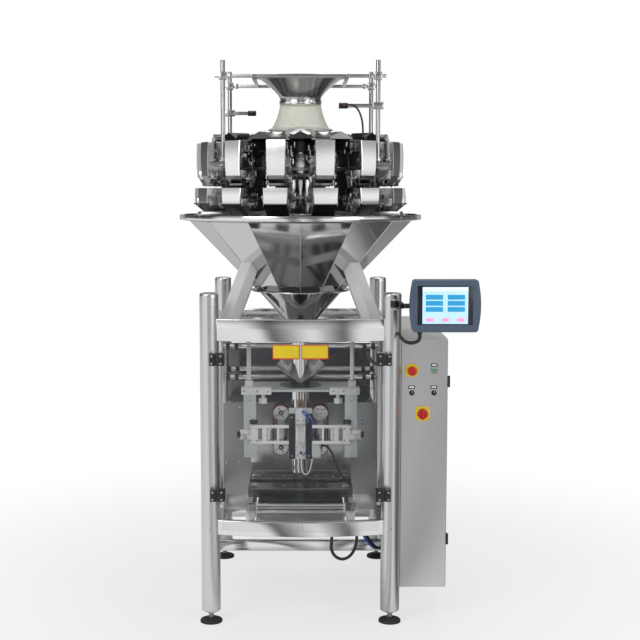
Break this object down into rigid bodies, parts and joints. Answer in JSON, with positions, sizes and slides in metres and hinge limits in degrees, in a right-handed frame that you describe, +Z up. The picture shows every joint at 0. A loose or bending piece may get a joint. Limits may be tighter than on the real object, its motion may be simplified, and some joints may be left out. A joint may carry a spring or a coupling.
{
  "type": "vertical form fill sealer",
  "caption": "Vertical form fill and seal machine: round-post frame with curved clear doors, side cabinet and screen, and a multihead weigher on a collecting cone.",
  "frame": {"origin": "bottom centre of the machine's box, on the floor", "axes": "+Z up, +X to the cabinet side, +Y to the film reel at the rear"},
  "size_m": [1.3182, 1.59, 2.516],
  "materials": {
    "brushed_steel": "brushed stainless sheet and tube",
    "polished_steel": "mirror polished stainless sheet",
    "aluminium": "milled",
    "rubber": "matte",
    "clear_acrylic": "clear sheet",
    "skirt_film": "translucent film",
    "black_plastic": "moulded",
    "red_plastic": "moulded",
    "green_plastic": "moulded",
    "bezel": "fine texture",
    "belt": "ribbed",
    "film": "wound film",
    "grey_paint": "light grey paint"
  },
  "bodies": {
    "machine": {"frame": "brushed_steel", "foot_left_front": "rubber", "foot_left_rear": "rubber", "foot_right_front": "rubber", "foot_right_rear": "rubber", "back_wall": "brushed_steel", "cabinet_shell": "brushed_steel", "former_carrier": "grey_paint", "forming_tube": "polished_steel", "forming_collar": "polished_steel", "jaw_guides": "brushed_steel", "collecting_cone": "polished_steel", "discharge_funnel": "polished_steel", "cone_stand": "brushed_steel", "weigher_body": "brushed_steel", "feeder_pans": "brushed_steel", "dispersion_cone": "polished_steel", "infeed_funnel": "polished_steel", "infeed_skirt": "skirt_film", "infeed_gantry": "brushed_steel", "feed_hoppers": "brushed_steel", "weigh_hoppers": "brushed_steel", "hmi_conduit": "black_plastic", "service_loop": "black_plastic"},
    "cabinet_door": {"cabinet_door": "brushed_steel"},
    "estop_button": {"estop_button": "red_plastic"},
    "start_button": {"start_button": "green_plastic"},
    "selector_left": {"selector_left": "black_plastic"},
    "selector_right": {"selector_right": "black_plastic"},
    "main_switch": {"main_switch": "red_plastic"},
    "hmi_arm": {"hmi_arm": "black_plastic"},
    "hmi_panel": {"hmi_panel": "bezel"},
    "door_left": {"door_left": "clear_acrylic"},
    "door_right": {"door_right": "clear_acrylic"},
    "carriage_left": {"belt_carriage_left": "aluminium", "pull_belt_left": "belt"},
    "carriage_right": {"belt_carriage_right": "aluminium", "pull_belt_right": "belt"},
    "pulley_left_lower": {"pulley_left_lower": "aluminium"},
    "pulley_left_upper": {"pulley_left_upper": "aluminium"},
    "pulley_right_lower": {"pulley_right_lower": "aluminium"},
    "pulley_right_upper": {"pulley_right_upper": "aluminium"},
    "vertical_sealer": {"vertical_sealer": "black_plastic"},
    "front_jaw": {"front_jaw": "brushed_steel"},
    "rear_jaw": {"rear_jaw": "brushed_steel"},
    "film_reel": {"film_reel": "film"},
    "weigh_gate_01": {"weigh_gate_01": "polished_steel"},
    "weigh_gate_02": {"weigh_gate_02": "polished_steel"},
    "weigh_gate_03": {"weigh_gate_03": "polished_steel"},
    "weigh_gate_04": {"weigh_gate_04": "polished_steel"},
    "weigh_gate_05": {"weigh_gate_05": "polished_steel"},
    "weigh_gate_06": {"weigh_gate_06": "polished_steel"},
    "weigh_gate_07": {"weigh_gate_07": "polished_steel"},
    "weigh_gate_08": {"weigh_gate_08": "polished_steel"},
    "weigh_gate_09": {"weigh_gate_09": "polished_steel"},
    "weigh_gate_10": {"weigh_gate_10": "polished_steel"},
    "weigh_gate_11": {"weigh_gate_11": "polished_steel"},
    "weigh_gate_12": {"weigh_gate_12": "polished_steel"},
    "weigh_gate_13": {"weigh_gate_13": "polished_steel"},
    "weigh_gate_14": {"weigh_gate_14": "polished_steel"}
  },
  "joints": [
    {"name": "cabinet_door_hinge", "type": "hinge", "parent": "machine", "child": "cabinet_door", "pos_m": [0.5547, -0.5585, 0.724], "axis": [0, 0, -1], "range_deg": [0, 110]},
    {"name": "estop_press", "type": "slide", "parent": "machine", "child": "estop_button", "axis": [0, 1, 0], "range_m": [0, 0.005], "stiffness_N_per_m": 600},
    {"name": "start_press", "type": "slide", "parent": "machine", "child": "start_button", "axis": [0, 1, 0], "range_m": [0, 0.003], "stiffness_N_per_m": 300},
    {"name": "selector_left_turn", "type": "hinge", "parent": "machine", "child": "selector_left", "pos_m": [0.3901, -0.555, 1.049], "axis": [0, 1, 0], "range_deg": [-45, 45]},
    {"name": "selector_right_turn", "type": "hinge", "parent": "machine", "child": "selector_right", "pos_m": [0.4886, -0.555, 1.049], "axis": [0, 1, 0], "range_deg": [-45, 45]},
    {"name": "main_switch_turn", "type": "hinge", "parent": "machine", "child": "main_switch", "pos_m": [0.4396, -0.555, 0.954], "axis": [0, 1, 0], "range_deg": [0, 90]},
    {"name": "hmi_swivel", "type": "hinge", "parent": "machine", "child": "hmi_arm", "pos_m": [0.3066, -0.617, 1.45], "axis": [0, 0, 1], "range_deg": [-45, 45], "deforming": ["hmi_conduit"]},
    {"name": "hmi_tilt", "type": "hinge", "parent": "hmi_arm", "child": "hmi_panel", "pos_m": [0.5087, -0.73, 1.45], "axis": [1, 0, 0], "range_deg": [-20, 10]},
    {"name": "door_left_hinge", "type": "hinge", "parent": "machine", "child": "door_left", "pos_m": [-0.4752, -0.63, 0.85], "axis": [0, 0, -1], "range_deg": [0, 100]},
    {"name": "door_right_hinge", "type": "hinge", "parent": "machine", "child": "door_right", "pos_m": [0.2684, -0.63, 0.85], "axis": [0, 0, 1], "range_deg": [0, 100]},
    {"name": "belt_left_clamp", "type": "slide", "parent": "machine", "child": "carriage_left", "axis": [-1, 0, 0], "range_m": [-0.009, 0.02]},
    {"name": "belt_right_clamp", "type": "slide", "parent": "machine", "child": "carriage_right", "axis": [1, 0, 0], "range_m": [-0.009, 0.02]},
    {"name": "pulley_left_lower_spin", "type": "hinge", "parent": "carriage_left", "child": "pulley_left_lower", "pos_m": [-0.1964, -0.155, 0.722], "axis": [0, 1, 0], "continuous": true},
    {"name": "pulley_left_upper_spin", "type": "hinge", "parent": "carriage_left", "child": "pulley_left_upper", "pos_m": [-0.1964, -0.155, 0.888], "axis": [0, 1, 0], "continuous": true},
    {"name": "pulley_right_lower_spin", "type": "hinge", "parent": "carriage_right", "child": "pulley_right_lower", "pos_m": [-0.0104, -0.155, 0.722], "axis": [0, 1, 0], "continuous": true},
    {"name": "pulley_right_upper_spin", "type": "hinge", "parent": "carriage_right", "child": "pulley_right_upper", "pos_m": [-0.0104, -0.155, 0.888], "axis": [0, 1, 0], "continuous": true},
    {"name": "vertical_sealer_press", "type": "slide", "parent": "machine", "child": "vertical_sealer", "axis": [0, 1, 0], "range_m": [0, 0.01]},
    {"name": "front_jaw_close", "type": "slide", "parent": "machine", "child": "front_jaw", "axis": [0, 1, 0], "range_m": [0, 0.0385]},
    {"name": "rear_jaw_close", "type": "slide", "parent": "machine", "child": "rear_jaw", "axis": [0, -1, 0], "range_m": [0, 0.0385]},
    {"name": "film_reel_spin", "type": "hinge", "parent": "machine", "child": "film_reel", "pos_m": [-0.1034, 0.645, 0.62], "axis": [1, 0, 0], "continuous": true},
    {"name": "weigh_gate_01_open", "type": "hinge", "parent": "machine", "child": "weigh_gate_01", "pos_m": [0.00666, -0.6372, 1.88063], "axis": [-0.9749, -0.2225, 0], "range_deg": [0, 45], "stiffness_Nm_per_rad": 0.5, "springref_deg": -20.05},
    {"name": "weigh_gate_02_open", "type": "hinge", "parent": "machine", "child": "weigh_gate_02", "pos_m": [0.20499, -0.5417, 1.88063], "axis": [-0.7818, -0.6235, 0], "range_deg": [0, 45], "stiffness_Nm_per_rad": 0.5, "springref_deg": -20.05},
    {"name": "weigh_gate_03_open", "type": "hinge", "parent": "machine", "child": "weigh_gate_03", "pos_m": [0.34223, -0.3696, 1.88063], "axis": [-0.4339, -0.901, 0], "range_deg": [0, 45], "stiffness_Nm_per_rad": 0.5, "springref_deg": -20.05},
    {"name": "weigh_gate_04_open", "type": "hinge", "parent": "machine", "child": "weigh_gate_04", "pos_m": [0.39121, -0.155, 1.88063], "axis": [0, -1, 0], "range_deg": [0, 45], "stiffness_Nm_per_rad": 0.5, "springref_deg": -20.05},
    {"name": "weigh_gate_05_open", "type": "hinge", "parent": "machine", "child": "weigh_gate_05", "pos_m": [0.34223, 0.0596, 1.88063], "axis": [0.4339, -0.901, 0], "range_deg": [0, 45], "stiffness_Nm_per_rad": 0.5, "springref_deg": -20.05},
    {"name": "weigh_gate_06_open", "type": "hinge", "parent": "machine", "child": "weigh_gate_06", "pos_m": [0.20499, 0.2317, 1.88063], "axis": [0.7818, -0.6235, 0], "range_deg": [0, 45], "stiffness_Nm_per_rad": 0.5, "springref_deg": -20.05},
    {"name": "weigh_gate_07_open", "type": "hinge", "parent": "machine", "child": "weigh_gate_07", "pos_m": [0.00666, 0.3272, 1.88063], "axis": [0.9749, -0.2225, 0], "range_deg": [0, 45], "stiffness_Nm_per_rad": 0.5, "springref_deg": -20.05},
    {"name": "weigh_gate_08_open", "type": "hinge", "parent": "machine", "child": "weigh_gate_08", "pos_m": [-0.21346, 0.3272, 1.88063], "axis": [0.9749, 0.2225, 0], "range_deg": [0, 45], "stiffness_Nm_per_rad": 0.5, "springref_deg": -20.05},
    {"name": "weigh_gate_09_open", "type": "hinge", "parent": "machine", "child": "weigh_gate_09", "pos_m": [-0.41178, 0.2317, 1.88063], "axis": [0.7818, 0.6235, 0], "range_deg": [0, 45], "stiffness_Nm_per_rad": 0.5, "springref_deg": -20.05},
    {"name": "weigh_gate_10_open", "type": "hinge", "parent": "machine", "child": "weigh_gate_10", "pos_m": [-0.54902, 0.0596, 1.88063], "axis": [0.4339, 0.901, 0], "range_deg": [0, 45], "stiffness_Nm_per_rad": 0.5, "springref_deg": -20.05},
    {"name": "weigh_gate_11_open", "type": "hinge", "parent": "machine", "child": "weigh_gate_11", "pos_m": [-0.598, -0.155, 1.88063], "axis": [0, 1, 0], "range_deg": [0, 45], "stiffness_Nm_per_rad": 0.5, "springref_deg": -20.05},
    {"name": "weigh_gate_12_open", "type": "hinge", "parent": "machine", "child": "weigh_gate_12", "pos_m": [-0.54902, -0.3696, 1.88063], "axis": [-0.4339, 0.901, 0], "range_deg": [0, 45], "stiffness_Nm_per_rad": 0.5, "springref_deg": -20.05},
    {"name": "weigh_gate_13_open", "type": "hinge", "parent": "machine", "child": "weigh_gate_13", "pos_m": [-0.41178, -0.5417, 1.88063], "axis": [-0.7818, 0.6235, 0], "range_deg": [0, 45], "stiffness_Nm_per_rad": 0.5, "springref_deg": -20.05},
    {"name": "weigh_gate_14_open", "type": "hinge", "parent": "machine", "child": "weigh_gate_14", "pos_m": [-0.21346, -0.6372, 1.88063], "axis": [-0.9749, 0.2225, 0], "range_deg": [0, 45], "stiffness_Nm_per_rad": 0.5, "springref_deg": -20.05}
  ],
  "couplings": [
    {"joint": "belt_right_clamp", "follows": "belt_left_clamp", "ratio": 1},
    {"joint": "rear_jaw_close", "follows": "front_jaw_close", "ratio": 1},
    {"joint": "pulley_left_upper_spin", "follows": "pulley_left_lower_spin", "ratio": 1},
    {"joint": "pulley_right_lower_spin", "follows": "pulley_left_lower_spin", "ratio": -1},
    {"joint": "pulley_right_upper_spin", "follows": "pulley_left_lower_spin", "ratio": -1}
  ]
}
